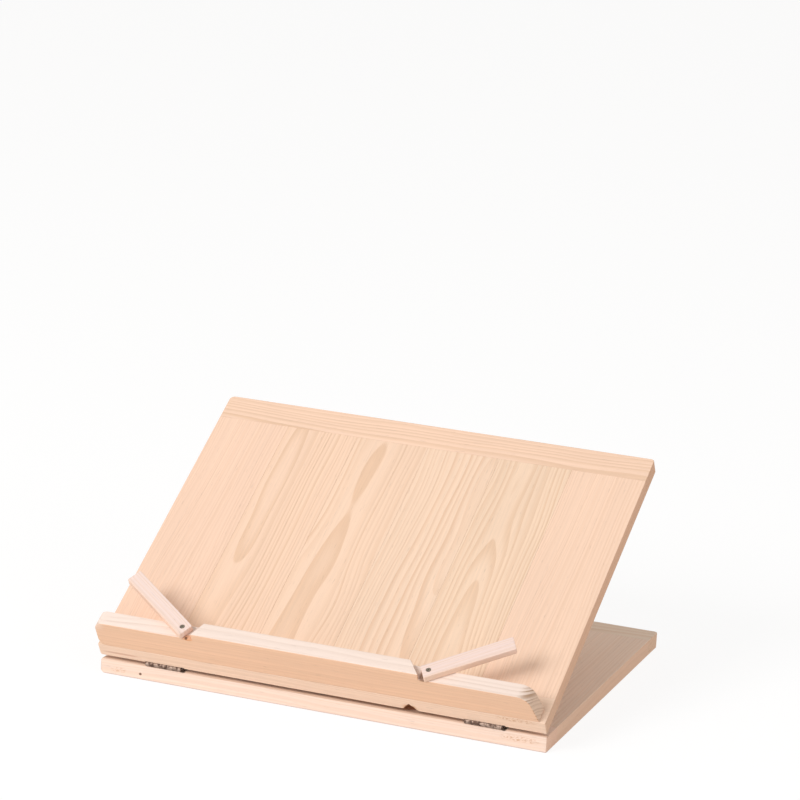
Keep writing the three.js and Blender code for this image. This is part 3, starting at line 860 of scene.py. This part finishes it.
def cross_wing(sizes):
    """One wing of a cross recess: a narrow slab that tapers towards its floor."""
    half, width = WING_REACH * sizes["head"], WING_WIDTH * sizes["head"]
    floor = -WING_DEPTH * sizes["neck"]
    shape = rectangle((-half, -width), (half, width), 0.6 * width)
    wing = slab("wing", shape, floor, OVERRUN, SKIN)
    points = vectors(wing.data.vertices, "co")
    share = np.clip((points[:, 2] - floor) / -floor, 0, 1)
    points[:, :2] *= (WING_TAPER + (1 - WING_TAPER) * share)[:, None]
    wing.data.vertices.foreach_set("co", points.ravel())
    return wing


# Hinges

# Shares of a barrel's radius: a point beyond the first is on its crown, and one within the
# second is in its bore
CROWN_SHARE, BORE_SHARE = 0.9, 0.75
# How far a knuckle curls, and in how many points
CURL, CURL_STEPS = math.radians(318), 40
# A plate's distance from its barrel, its corners' radii and its arris
PLATE_GAP, PLATE_ARRIS = 0.3 * MM, 0.1 * MM
PLATE_CORNERS = (0.15 * MM, 0.15 * MM, MM, MM)
# A pin's rounded end, as a share of its radius, and its steps round
PIN_ROUND, PIN_STEPS = 0.35, 24


def levels(values):
    """The different values among some, in order, leaving out repeats within a skin."""
    ordered = np.sort(values)
    return ordered[np.insert(np.diff(ordered) > SKIN, 0, True)]


def leaf_shape(node, axis):
    """A CAD leaf's sizes as seen from its pin: its barrel and bore, its plate and knuckles."""
    points = local_points(node) - axis
    low, high = points.min(0), points.max(0)
    middle = (low[0] + high[0]) / 2
    reach = high[1] if high[1] > -low[1] else low[1]
    barrel = min(high[1], -low[1])
    far = points[np.abs(points[:, 1] - reach) < MERGE]
    side = math.copysign(1, far[:, 2].mean())
    from_pin = np.hypot(points[:, 1], points[:, 2])
    crown = points[-side * points[:, 2] > CROWN_SHARE * barrel]
    ends = levels(crown[:, 0] - middle)
    return {"middle": middle, "length": high[0] - low[0], "reach": abs(reach), "barrel": barrel,
            "bore": from_pin[from_pin < BORE_SHARE * barrel].max(), "side": side,
            "forward": math.copysign(1, reach),
            "thickness": far[:, 2].max() - far[:, 2].min(), "knuckles": ends.reshape(-1, 2)}


def knuckle(shape, start, end):
    """A strip of the leaf that lies flat under the pin and then curls round it: its outer side
    runs along (-barrel sin a, -barrel cos a) and its inner side along (-bore sin a,
    -bore cos a), while a goes from 0 to the whole curl."""
    outer_r, inner_r = shape["barrel"], shape["bore"]
    a = np.linspace(0, CURL, CURL_STEPS)
    curl = np.stack([-np.sin(a), -np.cos(a)], -1)
    flat = outer_r + 1.5 * shape["thickness"]
    outer = np.concatenate([[(flat, -outer_r)], outer_r * curl])
    inner = np.concatenate([[(flat, shape["thickness"] - outer_r)], inner_r * curl])
    loop = np.concatenate([outer, inner[::-1]])
    count = len(loop)
    points = np.concatenate([np.insert(loop, 0, x, axis=1) for x in (start, end)])
    faces = [(i, (i + 1) % count, count + (i + 1) % count, count + i) for i in range(count)]
    for i in range(len(outer) - 1):
        j = count - 1 - i
        faces.append((i, j, j - 1, i + 1))
        faces.append((count + i, count + i + 1, count + j - 1, count + j))
    piece = mesh_object("knuckle", points, faces)
    edit_mesh(piece.data, lambda work: bmesh.ops.recalc_face_normals(work, faces=work.faces))
    return piece


def make_leaf(node, axis, screws):
    """A hinge's leaf: a plate with two round corners, its knuckles and its screws' holes."""
    shape = leaf_shape(node, axis)
    half, r = shape["length"] / 2, shape["barrel"]
    outline = rectangle((-half, r + PLATE_GAP), (half, shape["reach"]), PLATE_CORNERS)
    leaf = slab(node, outline, -r, -r + shape["thickness"], PLATE_ARRIS)
    for start, end in shape["knuckles"]:
        boolean(leaf, knuckle(shape, start, end), "UNION")
    spin = Matrix.Rotation(math.pi, 4, "Z") if shape["forward"] < 0 else Matrix.Identity(4)
    if shape["side"] > 0:
        spin = Matrix.Rotation(math.pi, 4, "Y") @ spin
    moved(leaf, Matrix.Translation(axis + np.array([shape["middle"], 0, 0])) @ spin)
    for screw in screws:
        boolean(leaf, screw_bore(screw), "DIFFERENCE")
    return finish_piece(leaf, node, [metal("hinge")])


def make_pin(node):
    """A hinge's pin, turned along X, with both ends rounded over."""
    low, high = local_box(node)
    radius, length = (high[2] - low[2]) / 2, high[0] - low[0]
    round_over = PIN_ROUND * radius
    a = np.linspace(0, math.pi / 2, 5)
    foot = np.stack([radius - round_over * (1 - np.sin(a)), round_over * (1 - np.cos(a))], -1)
    head = np.stack([foot[::-1, 0], length - foot[::-1, 1]], -1)
    profile = np.concatenate([[(0, 0)], foot, head, [(0, length)]])
    middle = (low + high) / 2
    place = Matrix.Translation((low[0], *middle[1:])) @ Matrix.Rotation(math.pi / 2, 4, "Y")
    return finish_piece(moved(lathe(node, profile, PIN_STEPS), place), node, [metal("hinge")])


def hinge_axis(kind, body):
    """The pin line of a kind of hinge, in the frame of a body."""
    joint = JOINTS["book_rest_tilt" if kind == "front_hinge" else "prop_swing"]
    point = FRAMES[body].inverted() @ Vector(joint["pos_m"])
    return np.array((0, point.y, point.z))


# Stage

WHITE = (1, 1, 1, 1)
SENSOR_WIDTH_MM = 36.0
FARTHEST = 100.0
# The lamps' places and widths, and the point that they light
KEY_PLACE, KEY_WIDTH = (-1.44, -2.50, 1.85), 1.6
SIDE_PLACE, SIDE_WIDTH = (2.5, -1.0, 1.2), 1.2
LIT_POINT = (0, 0, 0.05)


def white_if_seen(tree, plain, white, share, *more_rays):
    """Mixes to white what the camera sees, straight or in a reflection, or by more rays."""
    rays = add(tree, "ShaderNodeLightPath").outputs
    seen = rays["Is Camera Ray"]
    for ray in ("Is Glossy Ray", *more_rays):
        seen = maths(tree, "MAXIMUM", seen, rays[ray])
    seen = maths(tree, "MULTIPLY", seen, share)
    inputs = {0: seen, 1: plain.outputs[0], 2: white.outputs[0]}
    return add(tree, "ShaderNodeMixShader", inputs).outputs[0]


def stage_floor(settings):
    """A flat square at z = 0, seen as white and shaded softly by what stands on it."""
    half = settings.floor_size / 2
    corners = np.array([(-half, -half, 0), (half, -half, 0), (half, half, 0), (-half, half, 0)])
    floor = mesh_object("floor", corners, [(0, 1, 2, 3)])
    material, tree, shader = new_material("Floor paper")
    feed(tree, shader, {"Base Color": (*settings.floor_colour, 1), "Roughness": 0.9,
                        "Specular IOR Level": 0.1})
    white = add(tree, "ShaderNodeEmission", {"Color": WHITE, "Strength": settings.floor_white})
    mix = white_if_seen(tree, shader, white, settings.floor_glow)
    feed(tree, tree.nodes["Material Output"], {"Surface": mix})
    floor.data.materials.append(material)


def sky(settings):
    """White where the camera or a reflection sees it, and plain soft light elsewhere."""
    world = bpy.data.worlds.new("Studio")
    bpy.context.scene.world = world
    world.use_nodes = True
    tree = world.node_tree
    soft = feed(tree, tree.nodes["Background"], {"Color": (*settings.sky_tint, 1),
                                                 "Strength": settings.sky_level})
    white = add(tree, "ShaderNodeBackground", {"Color": WHITE, "Strength": 1.0})
    mix = white_if_seen(tree, soft, white, 1.0, "Is Transmission Ray")
    feed(tree, tree.nodes["World Output"], {"Surface": mix})


def area_lamp(name, place, width, power):
    lamp = bpy.data.lights.new(name, "AREA")
    lamp.size = width
    lamp.energy = power
    holder = linked(name, lamp)
    holder.location = place
    look = Vector(LIT_POINT) - Vector(place)
    holder.rotation_euler = look.to_track_quat("-Z", "Y").to_euler()


def camera(settings):
    """The camera of the photograph, round its target by azimuth, elevation and roll."""
    a, e = settings.azimuth, settings.elevation
    back = Vector((math.sin(a) * math.cos(e), -math.cos(a) * math.cos(e), math.sin(e)))
    turn = back.to_track_quat("Z", "Y").to_matrix().to_4x4()
    turn @= Matrix.Rotation(settings.roll, 4, "Z")
    lens = bpy.data.cameras.new("Camera")
    lens.sensor_width = SENSOR_WIDTH_MM
    lens.lens = settings.lens
    lens.clip_end = FARTHEST
    holder = linked("Camera", lens)
    place = Vector(settings.target) + back * settings.distance
    holder.matrix_world = Matrix.Translation(place) @ turn
    bpy.context.scene.camera = holder


# What a user may change


def number(name, description, value, **kind):
    return bpy.props.FloatProperty(name=name, description=description, default=value, **kind)


def numbers(name, description, values, **kind):
    return bpy.props.FloatVectorProperty(name=name, description=description, default=values,
                                         size=len(values), **kind)


def length_prop(name, description, value_mm):
    return number(name, description, value_mm * MM, min=0, unit="LENGTH", subtype="DISTANCE",
                  precision=5)


def radii_prop(name, description, *values_mm):
    return numbers(name, description, [value * MM for value in values_mm], min=0,
                   unit="LENGTH", precision=5)


def colour_prop(name, description, *value):
    return numbers(name, description, value, min=0, max=1, subtype="COLOR")


def angle_prop(name, description, degrees):
    return number(name, description, math.radians(degrees), unit="ROTATION", subtype="ANGLE")


def share_prop(name, description, value):
    return number(name, description, value, min=0, max=1, subtype="FACTOR")


class BookStandWood(bpy.types.PropertyGroup):
    """Sizes and colours of the pine boards"""

    arris: length_prop("Arris", "Radius of the boards' rounded edges", 0.55)
    panel_corners: radii_prop("Panel corners", "Radii of the panels' corners in plan: front "
                              "left, front right, rear right, rear left", 0.8, 0.8, 2.5, 4)
    left_sides: radii_prop("Left sides", "Radii of the panels' rounded left sides: base below "
                           "and above, book rest below and above", 3.6, 3, 2.5, 1)
    ledge_corners: radii_prop("Ledge corners", "Radii of the ledge's ends from the front: left "
                              "foot, right foot, right top, left top", 5.5, 0.6, 10, 6)
    ledge_right_lean: length_prop("Ledge lean", "How far the right end leans inward", 6)
    clip_corner: length_prop("Clip corner", "Radius of a page clip's corners in plan", 1)
    clip_lean: length_prop("Clip lean", "How far a page clip's ends lean in plan", 1.2)
    clip_arris: length_prop("Clip arris", "Radius of a page clip's rounded edges", 0.4)
    flap_corner: length_prop("Flap corner", "Radius of the prop flap's corners in plan", 1.5)
    ring_width: length_prop("Ring width", "Mean width of a growth ring", 2.4)
    ring_contrast: share_prop("Ring contrast", "How far late wood shows", 0.5)
    sawn_contrast: share_prop("Sawn contrast", "The same on front cleats and end staves", 0.3)
    ledge_contrast: share_prop("Ledge contrast", "The same on the ledge's top", 0.22)
    face_contrast: share_prop("Face contrast", "The same on the ledge's front", 0.15)
    slant_contrast: share_prop("Slant contrast", "What slanting cuts on the ledge add", 1.0)
    early_wood: colour_prop("Early wood", "Pale wood of the base", 0.91, 0.74, 0.61)
    rest_wood: colour_prop("Rest wood", "Pale wood of the book rest", 0.95, 0.70, 0.535)
    late_wood: colour_prop("Late wood", "Darker wood at the end of a ring", 0.72, 0.45, 0.27)
    ledge_top: colour_prop("Ledge top", "Pale wood of the ledge", 0.925, 0.775, 0.69)
    ledge_late: colour_prop("Ledge late wood", "Its rings", 0.5, 0.32, 0.21)
    # The ledge face's colours are partly its own wood and partly painted shade of a face that looks down
    ledge_face: colour_prop("Ledge face", "Warm wood of the ledge's front", 0.88, 0.58, 0.40)
    ledge_face_late: colour_prop("Ledge face late wood", "Its rings", 0.66, 0.34, 0.16)
    clip_wood: colour_prop("Clip wood", "Pale wood of the page clips", 0.92, 0.735, 0.67)
    clip_late: colour_prop("Clip late wood", "Rings of the page clips", 0.80, 0.56, 0.38)
    clip_end_tint: colour_prop("Clip ends", "Tint of the page clips' ends", 1, 0.92, 0.86)
    end_grain_tint: colour_prop("End grain", "Tint of cuts across the grain", 0.84, 0.72, 0.60)
    # The panels' side tints paint the warm shade of their side faces, and the end grain of the cleats' ends
    base_side_grain_and_shade: colour_prop("Base sides", "Tint of the base's side faces", 0.94, 0.79, 0.69)
    rest_side_grain_and_shade: colour_prop("Rest sides", "Tint of the rest's side faces", 0.80, 0.68, 0.59)
    seed: bpy.props.IntProperty(name="Seed", description="Deals out the boards", default=7)


class BookStandMetal(bpy.types.PropertyGroup):
    """Finishes of the hinges, pins and screws"""

    hinge_colour: colour_prop("Hinge steel", "Colour of the hinges and pins", 0.44, 0.33, 0.27)
    hinge_film: colour_prop("Hinge film", "Colour of the patches on them", 0.17, 0.105, 0.08)
    hinge_roughness: share_prop("Hinge roughness", "Roughness of the hinges", 0.66)
    zinc_colour: colour_prop("Zinc", "Colour of the hinge and ledge screws", 0.6, 0.6, 0.58)
    zinc_film: colour_prop("Zinc film", "Colour of the patches on them", 0.22, 0.21, 0.2)
    zinc_roughness: share_prop("Zinc roughness", "Roughness of those screws", 0.32)
    dark_colour: colour_prop("Dark screw", "Colour of the clips' screws", 0.26, 0.22, 0.17)
    dark_film: colour_prop("Dark film", "Colour of the patches on them", 0.09, 0.07, 0.06)
    dark_roughness: share_prop("Dark screw roughness", "Roughness of those screws", 0.42)


class BookStandStage(bpy.types.PropertyGroup):
    """Floor, light and camera"""

    floor_size: length_prop("Floor", "Side of the floor", 12000)
    floor_colour: colour_prop("Floor colour", "Colour of the floor", 0.9, 0.9, 0.9)
    floor_glow: share_prop("Floor glow", "How far the camera sees the floor as white", 0.8)
    floor_white: number("Floor white", "Strength of that white", 1.07, min=0)
    sky_level: share_prop("Sky level", "Strength of the soft light from all round", 0.5)
    sky_tint: colour_prop("Sky tint", "Colour of that light", 1.0, 0.96, 0.92)
    key_power: number("Key power", "Power of the key lamp", 66, unit="POWER")
    side_power: number("Side power", "Power of the lamp for the right sides", 12, unit="POWER")
    azimuth: angle_prop("Azimuth", "Camera's way round the stand", 20.27)
    elevation: angle_prop("Elevation", "Camera's height above the floor", 14.56)
    roll: angle_prop("Roll", "Camera's turn about its own line of sight", 3.14)
    distance: length_prop("Distance", "Camera to target", 3049.16)
    lens: number("Lens", "Focal length in millimetres", 157.272)
    target: numbers("Target", "Point that the camera looks at", (-0.24246, 0.666989, 0),
                    subtype="XYZ", unit="LENGTH")


# Operators


def timber_for(index):
    """Each group of boards draws from its own seed, so one group never changes another."""
    return Timber(bpy.context.scene.book_stand_wood.seed + index)


class BOOKSTAND_OT_base_panel(bpy.types.Operator):
    """Makes the base panel's cleats and staves"""

    bl_idname = "book_stand.base_panel"
    bl_label = "Base Panel"

    def execute(self, context):
        wood = context.scene.book_stand_wood
        make_panel("base", wood.early_wood, wood.base_side_grain_and_shade, wood.left_sides[:2],
                   base_marks_and_shade(), timber_for(0))
        return {"FINISHED"}


class BOOKSTAND_OT_book_rest(bpy.types.Operator):
    """Makes the book rest's cleats and staves"""

    bl_idname = "book_stand.book_rest"
    bl_label = "Book Rest"

    def execute(self, context):
        wood = context.scene.book_stand_wood
        make_panel("rest", wood.rest_wood, wood.rest_side_grain_and_shade, wood.left_sides[2:],
                   rest_marks_and_shade(), timber_for(100))
        return {"FINISHED"}


class BOOKSTAND_OT_ledge(bpy.types.Operator):
    """Makes the ledge with its taller middle"""

    bl_idname = "book_stand.ledge"
    bl_label = "Ledge"

    def execute(self, context):
        make_ledge(timber_for(200))
        return {"FINISHED"}


class BOOKSTAND_OT_page_clips(bpy.types.Operator):
    """Makes the two page clips"""

    bl_idname = "book_stand.page_clips"
    bl_label = "Page Clips"

    def execute(self, context):
        timber = timber_for(300)
        for side in ("left", "right"):
            make_clip(side, timber)
        return {"FINISHED"}


class BOOKSTAND_OT_prop_flap(bpy.types.Operator):
    """Makes the prop flap"""

    bl_idname = "book_stand.prop_flap"
    bl_label = "Prop Flap"

    def execute(self, context):
        make_flap(timber_for(400))
        return {"FINISHED"}


class BOOKSTAND_OT_hinges(bpy.types.Operator):
    """Makes the leaves and pins of the four butt hinges"""

    bl_idname = "book_stand.hinges"
    bl_label = "Hinges"

    def execute(self, context):
        for kind, moving in (("front_hinge", "rest"), ("prop_hinge", "flap")):
            for hinge in (f"left_{kind}", f"right_{kind}"):
                for leaf in (f"{hinge}_base", f"{hinge}_{moving}"):
                    make_leaf(f"{leaf}_leaf", hinge_axis(kind, BODY_OF[f"{leaf}_leaf"]),
                              (f"{leaf}_screw_a", f"{leaf}_screw_b"))
                make_pin(f"{hinge}_pin")
        return {"FINISHED"}


class BOOKSTAND_OT_screws(bpy.types.Operator):
    """Makes the hinges', the ledge's and the clips' screws"""

    bl_idname = "book_stand.screws"
    bl_label = "Screws"

    def execute(self, context):
        for node in sorted(NODES):
            if "_screw" in node:
                place = next(place for place in PITCHES if place in node)
                make_screw(node, metal("dark" if place == "clip" else "zinc"), PITCHES[place])
        return {"FINISHED"}


class BOOKSTAND_OT_stage(bpy.types.Operator):
    """Makes the floor, the light and the camera"""

    bl_idname = "book_stand.stage"
    bl_label = "Stage"

    def execute(self, context):
        settings = context.scene.book_stand_stage
        stage_floor(settings)
        sky(settings)
        area_lamp("Key lamp", KEY_PLACE, KEY_WIDTH, settings.key_power)
        area_lamp("Side lamp", SIDE_PLACE, SIDE_WIDTH, settings.side_power)
        camera(settings)
        context.scene.view_settings.view_transform = "Standard"
        return {"FINISHED"}


OPERATORS = (
    BOOKSTAND_OT_stage, BOOKSTAND_OT_base_panel, BOOKSTAND_OT_book_rest, BOOKSTAND_OT_ledge,
    BOOKSTAND_OT_page_clips, BOOKSTAND_OT_prop_flap, BOOKSTAND_OT_hinges, BOOKSTAND_OT_screws,
)
SETTINGS = {"book_stand_wood": BookStandWood, "book_stand_metal": BookStandMetal,
            "book_stand_stage": BookStandStage}


class BOOKSTAND_PT_sidebar(bpy.types.Panel):
    """Lists the stand's settings and the steps that make it"""

    bl_idname = "BOOKSTAND_PT_sidebar"
    bl_label = "Folding Book Stand"
    bl_space_type = "VIEW_3D"
    bl_region_type = "UI"
    bl_category = "Book Stand"

    def draw(self, context):
        for operator in OPERATORS:
            self.layout.operator(operator.bl_idname)
        for name, group in SETTINGS.items():
            box = self.layout.box()
            for key in group.__annotations__:
                box.prop(getattr(context.scene, name), key)


def register():
    for group in (*SETTINGS.values(), *OPERATORS, BOOKSTAND_PT_sidebar):
        bpy.utils.register_class(group)
    for name, group in SETTINGS.items():
        setattr(bpy.types.Scene, name, bpy.props.PointerProperty(type=group))


def unregister():
    for name in SETTINGS:
        delattr(bpy.types.Scene, name)
    for group in reversed((*SETTINGS.values(), *OPERATORS, BOOKSTAND_PT_sidebar)):
        bpy.utils.unregister_class(group)


def main():
    register()
    for operator in OPERATORS:
        group, step = operator.bl_idname.split(".")
        getattr(getattr(bpy.ops, group), step)()


if __name__ == "__main__":
    main()
